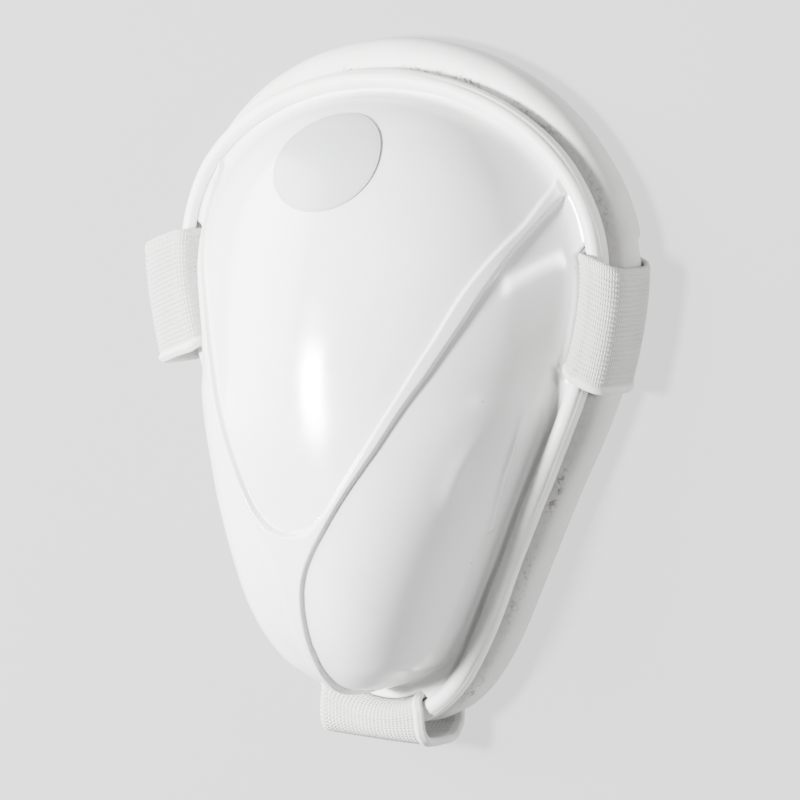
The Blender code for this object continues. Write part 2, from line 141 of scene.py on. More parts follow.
# Right half of the rib's plan: (across as a share of RIM_WIDTH, along as a share of HALF_LENGTH)
RIB_INNER_EDGE = (
    (0.947, 0.731),
    (0.913, 0.661),
    (0.877, 0.585),
    (0.821, 0.511),
    (0.711, 0.366),
    (0.629, 0.241),
    (0.564, 0.150),
    (0.502, 0.060),
    (0.432, -0.031),
    (0.353, -0.127),
    (0.271, -0.218),
    (0.196, -0.296),
    (0.124, -0.343),
    (0.060, -0.364),
)
RIB_OUTER_EDGE = (
    (0.999, 0.672),
    (0.962, 0.628),
    (0.879, 0.511),
    (0.759, 0.325),
    (0.635, 0.150),
    (0.570, 0.068),
    (0.501, -0.020),
    (0.428, -0.107),
    (0.311, -0.230),
    (0.206, -0.343),
    (0.117, -0.445),
    (0.075, -0.510),
    (0.053, -0.576),
    (0.035, -0.693),
    (0.028, -0.811),
    (0.022, -0.906),
)

# Low moulded lines down each flank: (across, along), as in the rib's plan
FLANK_LINE = (
    (0.880, 0.019),
    (0.835, -0.083),
    (0.781, -0.178),
    (0.737, -0.254),
    (0.671, -0.363),
)
FLANK_CREST = (
    (0.825, 0.012),
    (0.751, -0.094),
    (0.707, -0.155),
    (0.670, -0.226),
    (0.640, -0.300),
)


def table_curve(rows, column=1):
    """A function that reads one column of a table on a curve that never overshoots."""
    places = [row[0] for row in rows]
    values = [row[column] for row in rows]
    slopes = [(values[i + 1] - values[i]) / (places[i + 1] - places[i])
              for i in range(len(rows) - 1)]
    tangents = [slopes[0]]
    for before, after in zip(slopes, slopes[1:]):
        turns_back = before * after <= 0
        tangents.append(0.0 if turns_back else 2 * before * after / (before + after))
    tangents.append(slopes[-1])

    def value(at):
        if at <= places[0]:
            return values[0]
        if at >= places[-1]:
            return values[-1]
        k = max(i for i in range(len(slopes)) if places[i] <= at)
        span = places[k + 1] - places[k]
        t = (at - places[k]) / span
        return ((2 * t**3 - 3 * t**2 + 1) * values[k]
                + (t**3 - 2 * t**2 + t) * span * tangents[k]
                + (3 * t**2 - 2 * t**3) * values[k + 1]
                + (t**3 - t**2) * span * tangents[k + 1])

    return value


foot_share = table_curve(DOME_SECTIONS, 1)
section_power = table_curve(DOME_SECTIONS, 2)
middle_height = table_curve(MIDDLE_LINE, 1)

# The model's own middle, from the binding that follows the rim
low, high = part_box("rim_binding")
MIDDLE = Vector(((low[0] + high[0]) / 2, (low[1] + high[1]) / 2 - RIM_SHIFT, 0.0))


def rim_point(turn):
    """Centre of the bound edge at an angle of turn, 0 at +X and rising toward +Y."""
    rise = math.sin(turn)
    taper = 1 + sum(k * rise**(i + 1) for i, k in enumerate(RIM_TAPER))
    return Vector((RIM_WIDTH * math.cos(turn) * taper, RIM_SHIFT + HALF_LENGTH * rise))


def rim_outward(turn):
    step = 0.001
    along = rim_point(turn + step) - rim_point(turn - step)
    return Vector((along.y, -along.x)).normalized()


RIM_TURNS = [-math.pi / 2 + 2 * math.pi * i / RIM_STEPS for i in range(RIM_STEPS + 1)]
RIM_GONE = [0.0]
for first, second in zip(RIM_TURNS, RIM_TURNS[1:]):
    RIM_GONE.append(RIM_GONE[-1] + (rim_point(second) - rim_point(first)).length)
RIM_LENGTH = RIM_GONE[-1]


def share_between(places, at):
    """Index below a value in a rising list, and the share of the way to the next."""
    low, high = 0, len(places) - 1
    while high - low > 1:
        middle = (low + high) // 2
        if places[middle] <= at:
            low = middle
        else:
            high = middle
    return low, (at - places[low]) / (places[high] - places[low])


def turn_at(distance):
    """Angle of turn at a distance round the rim from the toe."""
    k, share = share_between(RIM_GONE, distance % RIM_LENGTH)
    return RIM_TURNS[k] + share * (RIM_TURNS[k + 1] - RIM_TURNS[k])


def distance_at(along):
    return next(gone for turn, gone in zip(RIM_TURNS, RIM_GONE) if rim_point(turn).y >= along)


def rim_place(distance, out, up):
    """A point beside the rim: out from the edge's centre, up from the floor."""
    turn = turn_at(distance)
    spot = rim_point(turn) + rim_outward(turn) * out
    return Vector((spot.x, spot.y, up)) + MIDDLE


def dome_foot(turn):
    spot = rim_point(turn)
    return spot - rim_outward(turn) * foot_share(spot.y / HALF_LENGTH) * FLANGE_WIDTH


FOOT_HALF = [dome_foot(turn) for turn, gone in zip(RIM_TURNS, RIM_GONE) if gone <= RIM_LENGTH / 2]
FOOT_ALONG = [spot.y for spot in FOOT_HALF]


def dome_height(across, along):
    """Height of the dome's outside over the rim plane, below zero beyond its foot."""
    if along <= FOOT_ALONG[0] or along >= FOOT_ALONG[-1]:
        beyond = max(FOOT_ALONG[0] - along, along - FOOT_ALONG[-1])
        return -4 * beyond
    k, share = share_between(FOOT_ALONG, along)
    half_width = FOOT_HALF[k].x + share * (FOOT_HALF[k + 1].x - FOOT_HALF[k].x)
    if abs(across) >= half_width:
        return -4 * (abs(across) - half_width)
    run = (2 * along - FOOT_ALONG[0] - FOOT_ALONG[-1]) / (FOOT_ALONG[-1] - FOOT_ALONG[0])
    power = section_power(along / HALF_LENGTH)
    top = middle_height(run) * CUP_HEIGHT
    return top * (1 - (abs(across) / half_width)**power)**(1 / power)


CUP_CENTRE = Vector((0.0, CUP_TOP_AT * HALF_LENGTH))


def bearing(spot):
    return math.atan2(abs(spot.x), CUP_CENTRE.y - spot.y)


def smooth_step(low, high, at):
    t = min(max((at - low) / (high - low), 0.0), 1.0)
    return t * t * (3 - 2 * t)


def flare_row(turn):
    """Where the wall leaves the dome's curve and runs straight down to the flange."""
    foot = dome_foot(turn) - CUP_CENTRE
    crease = rim_point(turn) - rim_outward(turn) * FLARE_FOOT - CUP_CENTRE
    reach = foot.length
    share = smooth_step(FLARE_BEGINS, FLARE_FULL, dome_foot(turn).y / HALF_LENGTH)
    end = reach + max(crease.length - reach, 0.0) * share + 0.01 * MM
    steepest = (0.0, reach)
    for i in range(FLARE_TRIES):
        at = reach * (0.6 + 0.4 * i / FLARE_TRIES)
        spot = CUP_CENTRE + foot * (at / reach)
        steepest = max(steepest, (dome_height(spot.x, spot.y) / (end - at), at))
    return bearing(dome_foot(turn)), steepest[1], end, steepest[0]


# Half the cup seen from above: (bearing from the dome's top, where the straight wall begins,
# where it ends, its slope)
HALF_TURNS = [turn for turn, gone in zip(RIM_TURNS, RIM_GONE) if gone <= RIM_LENGTH / 2]
FLARE_ROWS = [flare_row(turn) for turn in HALF_TURNS[::8] + HALF_TURNS[-1:]]
FLARE_BEARINGS = [row[0] for row in FLARE_ROWS]


def flared(dome, across, along):
    """The dome's height with its wall flared out at the foot, toward the waist end."""
    spot = Vector((across, along))
    k, share = share_between(FLARE_BEARINGS, bearing(spot))
    share = min(max(share, 0.0), 1.0)
    start, end, slope = [a + share * (b - a)
                         for a, b in zip(FLARE_ROWS[k][1:], FLARE_ROWS[k + 1][1:])]
    gone = (spot - CUP_CENTRE).length
    return dome if gone < start else max(dome, slope * (end - gone), -FLARE_DEPTH)


def cup_height(across, along):
    """Height of the cup over the floor, with a fillet where the dome meets the flange."""
    dome = RIM_PLANE + flared(dome_height(across, along), across, along)
    flange = RIM_PLANE + SHELL_WALL / 2
    return (dome + flange + math.sqrt((dome - flange)**2 + FOOT_FILLET**2)) / 2


def cup_square(across, along, step=0.1 * MM):
    """Direction square to the cup's outside, evened out over a step."""
    side = cup_height(across + step, along) - cup_height(across - step, along)
    rise = cup_height(across, along + step) - cup_height(across, along - step)
    return Vector((-side, -rise, 2 * step)).normalized()


def smooth_run(points, steps, closed=False):
    """Points along a smooth curve through the given ones."""
    count = len(points)
    run = []
    for i in range(count if closed else count - 1):
        if closed:
            a, b, c, d = [points[(i + k) % count] for k in (-1, 0, 1, 2)]
        else:
            a, b, c, d = [points[min(max(i + k, 0), count - 1)] for k in (-1, 0, 1, 2)]
        for step in range(steps):
            t = step / steps
            run.append(0.5 * (2 * b + (c - a) * t + (2 * a - 5 * b + 4 * c - d) * t**2
                              + (3 * b - a - 3 * c + d) * t**3))
    if not closed:
        run.append(points[-1])
    return run


# The rib's outline as closely spaced points, on both halves and across its ends
inner = [Vector((a * RIM_WIDTH, b * HALF_LENGTH)) for a, b in RIB_INNER_EDGE]
outer = [Vector((a * RIM_WIDTH, b * HALF_LENGTH)) for a, b in RIB_OUTER_EDGE]
edges = [smooth_run(line, CURVE_STEPS) for line in (inner, outer, [inner[0], outer[0]])]
edges += [[Vector((-p.x, p.y)) for p in edge] for edge in edges]
edges.append(smooth_run([inner[-1], Vector((0.0, inner[-1].y - 0.4 * MM)),
                         Vector((-inner[-1].x, inner[-1].y))], CURVE_STEPS))
edges.append(smooth_run([outer[-1], Vector((-outer[-1].x, outer[-1].y))], CURVE_STEPS))
rib_points = [point for edge in edges for point in edge]
rib_tree = KDTree(len(rib_points))
for i, point in enumerate(rib_points):
    rib_tree.insert((point.x, point.y, 0.0), i)
rib_tree.balance()


def inside_rib(across, along):
    """Whether a place in plan is over the rib."""
    across = abs(across)
    crossings = 0
    outline = inner[::-1] + outer + [Vector((0.0, outer[-1].y)), Vector((0.0, inner[-1].y))]
    for a, b in zip(outline, outline[1:] + outline[:1]):
        if (a.y > along) != (b.y > along):
            if across < a.x + (along - a.y) / (b.y - a.y) * (b.x - a.x):
                crossings += 1
    return crossings % 2 == 1


def rib_depth(across, along):
    """Distance in from the rib's edge, below zero outside it."""
    gap = rib_tree.find((across, along, 0.0))[2]
    return gap if inside_rib(across, along) else -gap


def on_cup(line):
    """A line's points on the cup's outside."""
    spots = [(a * RIM_WIDTH, b * HALF_LENGTH) for a, b in line]
    return [Vector((x, y, cup_height(x, y))) for x, y in spots]


LINE_POINTS = on_cup(FLANK_LINE)
CREST_POINTS = on_cup(FLANK_CREST)
# Where the plastic went in, a small pit beyond the line's end
GATE = LINE_POINTS[-1] + (LINE_POINTS[-1] - LINE_POINTS[-2]).normalized() * GATE_BEYOND_LINE


def line_gap(place, points):
    """Distance to a line down either flank, and how far along the line the nearest point is."""
    spot = Vector((abs(place.x), place.y, place.z))
    nearest = (1.0, 0.0)
    for k, (a, b) in enumerate(zip(points, points[1:])):
        share = min(max((spot - a).dot(b - a) / (b - a).length_squared, 0.0), 1.0)
        nearest = min(nearest, ((spot - a.lerp(b, share)).length, (k + share) / (len(points) - 1)))
    return nearest


def flank_rise(place):
    """Height of the moulded lines on the flanks, with the small pit at the end of one."""
    gap, share = line_gap(place, LINE_POINTS)
    rise = FLANK_LINE_RISE * smooth_step(-0.05, 0.30, share)
    rise *= math.exp(-(gap / FLANK_LINE_HALF_WIDTH)**2)
    gap, share = line_gap(place, CREST_POINTS)
    fade = smooth_step(0.0, 0.45, share) * smooth_step(1.0, 0.7, share)
    rise += FLANK_CREST_RISE * fade * math.exp(-(gap / FLANK_CREST_HALF_WIDTH)**2)
    pit = (Vector((abs(place.x), place.y, place.z)) - GATE).length
    return rise - GATE_DENT * math.exp(-(pit / GATE_RADIUS)**2)


# Where each loop passes the flange: (name, distance round the rim, the band's width, how far
# inside the edge's centre its notch reaches)
LOOP_PLACES = (
    ("toe", TOE_LOOP_AT, TOE_BAND_SHARE * BAND_WIDTH, TOE_NOTCH_DEPTH),
    ("right", distance_at(SIDE_LOOP_AT), BAND_WIDTH, SIDE_NOTCH_DEPTH),
    ("left", RIM_LENGTH - distance_at(SIDE_LOOP_AT), BAND_WIDTH, SIDE_NOTCH_DEPTH),
)


def loop_away(distance, centre):
    """Distance round the rim to a loop's middle, the shorter way."""
    return abs((distance - centre + RIM_LENGTH / 2) % RIM_LENGTH - RIM_LENGTH / 2)


def near_loop(distance, margin):
    """How far a place round the rim is inside a loop's stretch, 0 outside and 1 inside."""
    best = 0.0
    for _, centre, width, _ in LOOP_PLACES:
        side = width / 2 + SLOT_MARGIN
        best = max(best, smooth_step(side + margin, side, loop_away(distance, centre)))
    return best


def flange_end(distance):
    """How far inside the edge's centre the flange stops."""
    end = FLANGE_IN_BINDING
    for _, centre, width, slot in LOOP_PLACES:
        side = width / 2 + SLOT_MARGIN
        notch = smooth_step(side + SLOT_RAMP, side, loop_away(distance, centre))
        end = max(end, FLANGE_IN_BINDING + notch * (slot - FLANGE_IN_BINDING))
    return end


def cup_plan(x, y):
    """Place in plan of a corner of the flat disc, whose rim of 1 is the dome's foot."""
    reach = math.hypot(x, y)
    distance = RIM_LENGTH * (math.atan2(x, -y) / (2 * math.pi) % 1.0)
    turn = turn_at(distance)
    foot = dome_foot(turn)
    if reach <= 1.0:
        return CUP_CENTRE.lerp(foot, reach)
    stage = (reach - 1.0) / FLANGE_SPAN
    run = foot_share(rim_point(turn).y / HALF_LENGTH) * FLANGE_WIDTH - flange_end(distance)
    return foot + rim_outward(turn) * run * stage**FLANGE_CROWDING


def start_piece(name):
    piece = bpy.context.object
    piece.name = name
    return piece


def edit(piece):
    """Make a piece the active one, with none of its corners selected."""
    bpy.ops.object.select_all(action="DESELECT")
    bpy.context.view_layer.objects.active = piece
    piece.select_set(True)
    bpy.ops.object.mode_set(mode="EDIT")
    bpy.ops.mesh.select_all(action="DESELECT")
    bpy.ops.object.mode_set(mode="OBJECT")


def select_corners(piece, wanted):
    """Select the corners that a test names, and go into edit mode."""
    edit(piece)
    for corner in piece.data.vertices:
        corner.select = wanted(corner.co)
    bpy.ops.object.mode_set(mode="EDIT")
    bpy.ops.mesh.select_mode(type="VERT")


def face_out(piece):
    """Turn a piece's faces outward and shade it smooth."""
    edit(piece)
    bpy.ops.object.mode_set(mode="EDIT")
    bpy.ops.mesh.select_all(action="SELECT")
    bpy.ops.mesh.normals_make_consistent(inside=False)
    bpy.ops.object.mode_set(mode="OBJECT")
    bpy.ops.object.shade_smooth()


bpy.ops.mesh.primitive_uv_sphere_add(segments=288, ring_count=144, radius=1.0)
cup = start_piece("cup")
select_corners(cup, lambda co: co.z < -0.001)
bpy.ops.mesh.delete(type="VERT")
bpy.ops.mesh.select_all(action="SELECT")
bpy.ops.transform.resize(value=(1.0, 1.0, 0.0))
bpy.ops.object.mode_set(mode="OBJECT")
for ring in range(1, FLANGE_RINGS + 1):
    reach = 1.0 + FLANGE_SPAN * ring / FLANGE_RINGS
    before = 1.0 + FLANGE_SPAN * (ring - 1) / FLANGE_RINGS
    select_corners(cup, lambda co: math.hypot(co.x, co.y) > before - 1e-5)
    bpy.ops.mesh.extrude_edges_move()
    bpy.ops.transform.resize(value=(reach / before, reach / before, 1.0))
    bpy.ops.object.mode_set(mode="OBJECT")


def needs_detail(co):
    """Whether a corner of the disc lies near the rib's edge or a moulded line."""
    spot = cup_plan(co.x, co.y)
    if rib_tree.find((spot.x, spot.y, 0.0))[2] < RIB_DETAIL_REACH:
        return True
    place = Vector((spot.x, spot.y, cup_height(spot.x, spot.y)))
    return line_gap(place, LINE_POINTS)[0] < LINE_DETAIL_REACH


select_corners(cup, needs_detail)
bpy.ops.mesh.subdivide(number_cuts=2)
bpy.ops.object.mode_set(mode="OBJECT")


def moulding_wave(across, along):
    """Slight unevenness of the moulding, which the label follows."""
    return noise.noise(Vector((across, along, 0.3)) / WAVE_LENGTH) * WAVE_RISE


# The flat disc is bent into the cup, and the rib and flank lines are lifted square to it
for corner in cup.data.vertices:
    spot = cup_plan(corner.co.x, corner.co.y)
    place = Vector((spot.x, spot.y, cup_height(spot.x, spot.y)))
    lift = flank_rise(place) + moulding_wave(spot.x, spot.y)
    lift *= smooth_step(0.2 * MM, 1.6 * MM, place.z - RIM_PLANE - SHELL_WALL / 2)
    lift += RIB_RISE * smooth_step(0.0, RIB_SLOPE, rib_depth(spot.x, spot.y))
    corner.co = place + cup_square(spot.x, spot.y, LIFT_EVENED_OVER) * lift + MIDDLE

face_out(cup)
if sum(face.normal.z for face in cup.data.polygons) < 0:
    cup.data.flip_normals()
wall = cup.modifiers.new("Wall", "SOLIDIFY")
wall.thickness = SHELL_WALL
wall.offset = -1.0
bpy.ops.object.modifier_apply(modifier="Wall")


def linear(code):
    """A colour written as sRGB hex, as the linear values that sockets hold."""
    parts = [int(code[i:i + 2], 16) / 255 for i in (1, 3, 5)]
    return [p / 12.92 if p <= 0.04045 else ((p + 0.055) / 1.055)**2.4 for p in parts] + [1.0]


def start_material(name, colour, roughness, ior):
    """A new material and its shader, with the values that are the same all over."""
    material = bpy.data.materials.new(name)
    material.use_nodes = True
    shader = material.node_tree.nodes["Principled BSDF"]
    shader.inputs["Base Color"].default_value = linear(colour)
    shader.inputs["Roughness"].default_value = roughness
    shader.inputs["IOR"].default_value = ior
    return material, shader


def add(material, kind, values=(), links=(), **settings):
    """Add a node with its settings, its sockets' values and its links."""
    node = material.node_tree.nodes.new(kind)
    for name, value in settings.items():
        setattr(node, name, value)
    for socket, value in dict(values).items():
        node.inputs[socket].default_value = value
    for socket, source in dict(links).items():
        material.node_tree.links.new(source, node.inputs[socket])
    return node


def link(material, source, socket):
    material.node_tree.links.new(source, socket)


def ramp(material, source, stops):
    """A colour ramp from (place, hex colour) stops."""
    node = add(material, "ShaderNodeValToRGB", links={"Fac": source})
    node.color_ramp.elements[0].position = stops[0][0]
    node.color_ramp.elements[0].color = linear(stops[0][1])
    node.color_ramp.elements[1].position = stops[-1][0]
    node.color_ramp.elements[1].color = linear(stops[-1][1])
    for place, colour in stops[1:-1]:
        node.color_ramp.elements.new(place).color = linear(colour)
    return node.outputs["Color"]


def mix_colour(material, share, first, second):
    """Mix two colours, each a socket or a linear value, by a share that a socket gives."""
    node = add(material, "ShaderNodeMix", data_type="RGBA")
    for socket, source in ((0, share), (6, first), (7, second)):
        if isinstance(source, (int, float, list)):
            node.inputs[socket].default_value = source
        else:
            material.node_tree.links.new(source, node.inputs[socket])
    return node.outputs[2]


# Glossy white polypropylene: faint flow clouding, a few dark specks in the moulding and a very
# shallow orange peel that softens the reflections
plastic, shader = start_material("moulded_polypropylene", "#E4E4E4", 0.17, 1.49)
where = add(plastic, "ShaderNodeTexCoord").outputs["Object"]
cloud = add(plastic, "ShaderNodeTexNoise", {"Scale": 1 / (28 * MM), "Detail": 4.0},
            {"Vector": where})
body = ramp(plastic, cloud.outputs["Fac"], ((0.35, "#E0E0E0"), (0.65, "#E8E8E7")))
dots = add(plastic, "ShaderNodeTexVoronoi", {"Scale": 1 / (13 * MM), "Randomness": 1.0},
           {"Vector": where})
speck = add(plastic, "ShaderNodeMapRange",
            {"From Min": 0.016, "From Max": 0.030, "To Min": 0.55, "To Max": 0.0},
            {"Value": dots.outputs["Distance"]})
specked = mix_colour(plastic, speck.outputs[0], body, linear("#8C8C8A"))
link(plastic, specked, shader.inputs["Base Color"])
smear = add(plastic, "ShaderNodeTexNoise", {"Scale": 1 / (9 * MM), "Detail": 6.0, "Distortion": 0.8},
            {"Vector": where})
gloss = add(plastic, "ShaderNodeMapRange",
            {"From Min": 0.3, "From Max": 0.7, "To Min": 0.13, "To Max": 0.21},
            {"Value": smear.outputs["Fac"]})
link(plastic, gloss.outputs[0], shader.inputs["Roughness"])
peel = add(plastic, "ShaderNodeTexNoise", {"Scale": 1 / (2.6 * MM), "Detail": 2.0},
           {"Vector": where})
bump = add(plastic, "ShaderNodeBump", {"Strength": 0.25, "Distance": 0.02 * MM},
           {"Height": peel.outputs["Fac"]})
link(plastic, bump.outputs["Normal"], shader.inputs["Normal"])
shader.inputs["Subsurface Weight"].default_value = 0.12
shader.inputs["Subsurface Radius"].default_value = (1.0, 0.9, 0.8)
shader.inputs["Subsurface Scale"].default_value = 1.2 * MM
cup.data.materials.append(plastic)
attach(cup, "root")
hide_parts("shell")


# The bound edge
# A strip of white coated leather folded over the flange's edge and glued, with its two lips
# lying on the plastic.

BINDING_HALF_WIDTH = 2.4 * MM
BINDING_HALF_HEIGHT = 2.7 * MM
BINDING_LIP = 1.75 * MM
LIP_FROM_CENTRE = 0.1 * MM
LIP_GAP = 0.06 * MM
BINDING_WRAP = math.radians(152)
ARC_STEPS = 24
FOLD_AT = math.radians(40)
FOLD_HALF_ANGLE = 0.13
FOLD_DEPTH = 0.30 * MM
SHEET_JOIN = 2e-6


def rolled_ring(name, around, tube, place, seam):
    """A sheet rolled into a tube and bent into a ring, its corners set by place(row, column).

    The corners' "seam" value is how much a seam marks leather there, or hems an elastic band.
    """
    bpy.ops.object.select_all(action="DESELECT")
    bpy.ops.mesh.primitive_grid_add(x_subdivisions=around, y_subdivisions=tube, size=2.0)
    piece = start_piece(name)
    layer = piece.data.attributes.new("seam", "FLOAT", "POINT")
    for corner in piece.data.vertices:
        row = round((corner.co.x + 1) / 2 * around) % around
        column = round((corner.co.y + 1) / 2 * tube) % tube
        corner.co = place(row, column)
        layer.data[corner.index].value = seam(row, column)
    edit(piece)
    bpy.ops.object.mode_set(mode="EDIT")
    bpy.ops.mesh.select_all(action="SELECT")
    bpy.ops.mesh.remove_doubles(threshold=SHEET_JOIN)
    bpy.ops.object.mode_set(mode="OBJECT")
    face_out(piece)
    return piece


def even_places(outline, count):
    """Points evenly spaced along a closed outline."""
    gone = [0.0]
    for a, b in zip(outline, outline[1:] + outline[:1]):
        gone.append(gone[-1] + (b - a).length)
    places = []
    for i in range(count):
        k, share = share_between(gone, gone[-1] * i / count)
        places.append(outline[k].lerp(outline[(k + 1) % len(outline)], share))
    return places


groove = SHELL_WALL / 2 + LIP_GAP
lip = [Vector((-LIP_FROM_CENTRE, groove)), Vector((-BINDING_LIP, groove))]
arc = [Vector((BINDING_HALF_WIDTH * math.cos(a), BINDING_HALF_HEIGHT * math.sin(a)))
       for a in (BINDING_WRAP * (1 - 2 * i / ARC_STEPS) for i in range(ARC_STEPS + 1))]
BINDING_ROWS = 512
BINDING_TUBE = 56
BINDING_OUTLINE = even_places(
    lip + arc + [Vector((p.x, -p.y)) for p in reversed(lip)], BINDING_TUBE)


def binding_place(row, column):
    distance = RIM_LENGTH * row / BINDING_ROWS
    out, up = BINDING_OUTLINE[column]
    spot = rim_place(distance, out, RIM_PLANE + up)
    if abs(up) < groove + 0.01 * MM and out < 0.0:
        return spot
    broad = noise.noise(spot / (11 * MM)) * 0.16 * MM
    fine = noise.noise(spot / (3.1 * MM)) * 0.05 * MM
    fold = math.exp(-((math.atan2(up, out) - FOLD_AT) / FOLD_HALF_ANGLE)**2)
    broad -= FOLD_DEPTH * fold * (0.7 + noise.noise(spot / (19 * MM)))
    return rim_place(distance, out * (1 + (broad + fine) / BINDING_HALF_WIDTH),
                     RIM_PLANE + up * (1 + broad / BINDING_HALF_HEIGHT))


# Where the glue line has cracked or let dirt in: (distance round the rim from the toe as a share
# of its length, half length of the stretch, how bad it is)
SEAM_MARKS = (
    (0.052, 5.0 * MM, 0.6),
    (0.120, 12.0 * MM, 0.5),
    (0.182, 6.0 * MM, 1.0),
    (0.345, 8.0 * MM, 0.5),
    (0.405, 7.0 * MM, 0.9),
    (0.452, 5.0 * MM, 1.0),
    (0.480, 6.0 * MM, 1.0),
    (0.532, 3.5 * MM, 1.0),
    (0.590, 5.0 * MM, 0.6),
    (0.700, 9.0 * MM, 0.4),
    (0.880, 8.0 * MM, 0.5),
)


def seam_marks(distance):
    worst = 0.12
    for share, reach, bad in SEAM_MARKS:
        worst = max(worst, bad * math.exp(-((distance - share * RIM_LENGTH) / reach)**2))
    return worst


def binding_seam(row, column):
    low_side = smooth_step(-1.0 * MM, -2.2 * MM, BINDING_OUTLINE[column].y)
    return low_side * seam_marks(RIM_LENGTH * row / BINDING_ROWS)


edge_binding = rolled_ring("edge_binding", BINDING_ROWS, BINDING_TUBE, binding_place, binding_seam)


def leather_material(name, colours, dirt, grain, roughness):
    """Coated leather: pebbled grain, soft creases and grime where it is dirty."""
    material, shader = start_material(name, colours[0], roughness, 1.48)
    where = add(material, "ShaderNodeTexCoord").outputs["Object"]
    cloud = add(material, "ShaderNodeTexNoise", {"Scale": 1 / (14 * MM), "Detail": 5.0},
                {"Vector": where})
    body = ramp(material, cloud.outputs["Fac"], ((0.34, colours[0]), (0.66, colours[1])))
    marks = add(material, "ShaderNodeTexNoise",
                {"Scale": 1 / (1.3 * MM), "Detail": 6.0, "Distortion": 0.6}, {"Vector": where})
    worn = add(material, "ShaderNodeMapRange",
               {"From Min": 0.50, "From Max": 0.60, "To Min": 0.0, "To Max": 1.0},
               {"Value": marks.outputs["Fac"]})
    seam = add(material, "ShaderNodeAttribute", attribute_name="seam")
    grime = add(material, "ShaderNodeMath", links={0: worn.outputs[0], 1: seam.outputs["Fac"]},
                operation="MULTIPLY")
    dirty = mix_colour(material, grime.outputs[0], body, linear(dirt))
    link(material, dirty, shader.inputs["Base Color"])
    cells = add(material, "ShaderNodeTexVoronoi", {"Scale": 1 / grain, "Randomness": 0.9},
                {"Vector": where}, feature="SMOOTH_F1")
    crease = add(material, "ShaderNodeTexNoise", {"Scale": 1 / (1.8 * MM), "Detail": 6.0},
                 {"Vector": where})
    fine = add(material, "ShaderNodeBump", {"Strength": 0.35, "Distance": 0.05 * MM},
               {"Height": cells.outputs["Distance"]})
    soft = add(material, "ShaderNodeBump", {"Strength": 0.35, "Distance": 0.10 * MM},
               {"Height": crease.outputs["Fac"], "Normal": fine.outputs["Normal"]})
    crack = add(material, "ShaderNodeBump", {"Strength": 0.9, "Distance": 0.25 * MM},
                {"Height": grime.outputs[0], "Normal": soft.outputs["Normal"]}, invert=True)
    link(material, crack.outputs["Normal"], shader.inputs["Normal"])
    shine = add(material, "ShaderNodeMapRange",
                {"From Min": 0.3, "From Max": 0.7, "To Min": roughness - 0.06, "To Max": roughness + 0.08},
                {"Value": cloud.outputs["Fac"]})
    link(material, shine.outputs[0], shader.inputs["Roughness"])
    return material


edge_binding.data.materials.append(
    leather_material("edge_leather", ("#DDDDDB", "#E6E5E3"), "#6E6A64", 0.55 * MM, 0.46))
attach(edge_binding, "root")
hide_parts("rim_binding")


# The padded roll
# A tube of foam in white coated leather, glued under the bound edge, which bears on the body.
# It is flat where it lies and lifted where the elastic passes under it.

GAP = 0.3 * MM
PAD_HEIGHT = RIM_PLANE - BINDING_HALF_HEIGHT - GAP
PAD_REACH = 9.5 * MM
PAD_HALF_WIDTH = 6.2 * MM
BAND_THICK = 1.3 * MM
PAD_SQUEEZE_RAMP = 1.6 * MM
PAD_SEAM_HALF_WIDTH = 0.9 * MM

# Along the guard at shares of HALF_LENGTH:
# (along, reach as a share of PAD_REACH, half width as a share of PAD_HALF_WIDTH)
PAD_SECTIONS = (
    (-1.001, 0.274, 0.516),
    (-0.863, 0.337, 0.548),
    (-0.680, 0.411, 0.597),
    (-0.471, 0.463, 0.645),
    (-0.235, 0.505, 0.694),
    (0.000, 0.589, 0.774),
    (0.262, 0.615, 0.800),
    (0.549, 0.570, 0.780),
    (0.719, 0.600, 0.800),
    (0.863, 0.780, 0.895),
    (1.001, 1.000, 1.000),
)

# Outline of the roll: (out, up), shares of its half width and of PAD_HEIGHT
PAD_OUTLINE = (
    (-0.50, 0.000),
    (0.05, 0.000),
    (0.55, 0.000),
    (0.88, 0.160),
    (1.00, 0.450),
    (0.90, 0.760),
    (0.58, 0.950),
    (0.00, 1.000),
    (-0.56, 0.950),
    (-0.90, 0.760),
    (-1.00, 0.450),
    (-0.86, 0.150),
)
PAD_ROWS = 640
PAD_TUBE = 44
PAD_ROUND = even_places(
    smooth_run([Vector((out, up * 2)) for out, up in PAD_OUTLINE], 8, closed=True), PAD_TUBE)
reach_share = table_curve(PAD_SECTIONS, 1)
width_share = table_curve(PAD_SECTIONS, 2)


def pad_reach(distance):
    return reach_share(rim_point(turn_at(distance)).y / HALF_LENGTH) * PAD_REACH


def pad_half_width(distance):
    return width_share(rim_point(turn_at(distance)).y / HALF_LENGTH) * PAD_HALF_WIDTH


def pad_place(row, column):
    distance = RIM_LENGTH * row / PAD_ROWS
    out, up = PAD_ROUND[column]
    half = pad_half_width(distance)
    squeezed = near_loop(distance, PAD_SQUEEZE_RAMP)
    floor = (BAND_THICK + GAP) * squeezed
    seat = floor + max(up / 2, 0.0) * (PAD_HEIGHT - floor)
    spot = rim_place(distance, pad_reach(distance) - half + out * half, seat)
    dents = noise.noise(spot / (16 * MM)) * 0.35 + noise.noise(spot / (5 * MM)) * 0.10 - 0.25
    swell = 1 + 0.06 * dents * (1 - squeezed) - 0.02 * squeezed
    return rim_place(distance, pad_reach(distance) - half + out * half * swell, seat)


def pad_seam(row, column):
    distance = RIM_LENGTH * row / PAD_ROWS
    half = pad_half_width(distance)
    out = pad_reach(distance) - half + PAD_ROUND[column].x * half
    beside = math.exp(-((out - BINDING_HALF_WIDTH) / PAD_SEAM_HALF_WIDTH)**2)
    return beside * smooth_step(1.3, 1.7, PAD_ROUND[column].y) * seam_marks(distance)


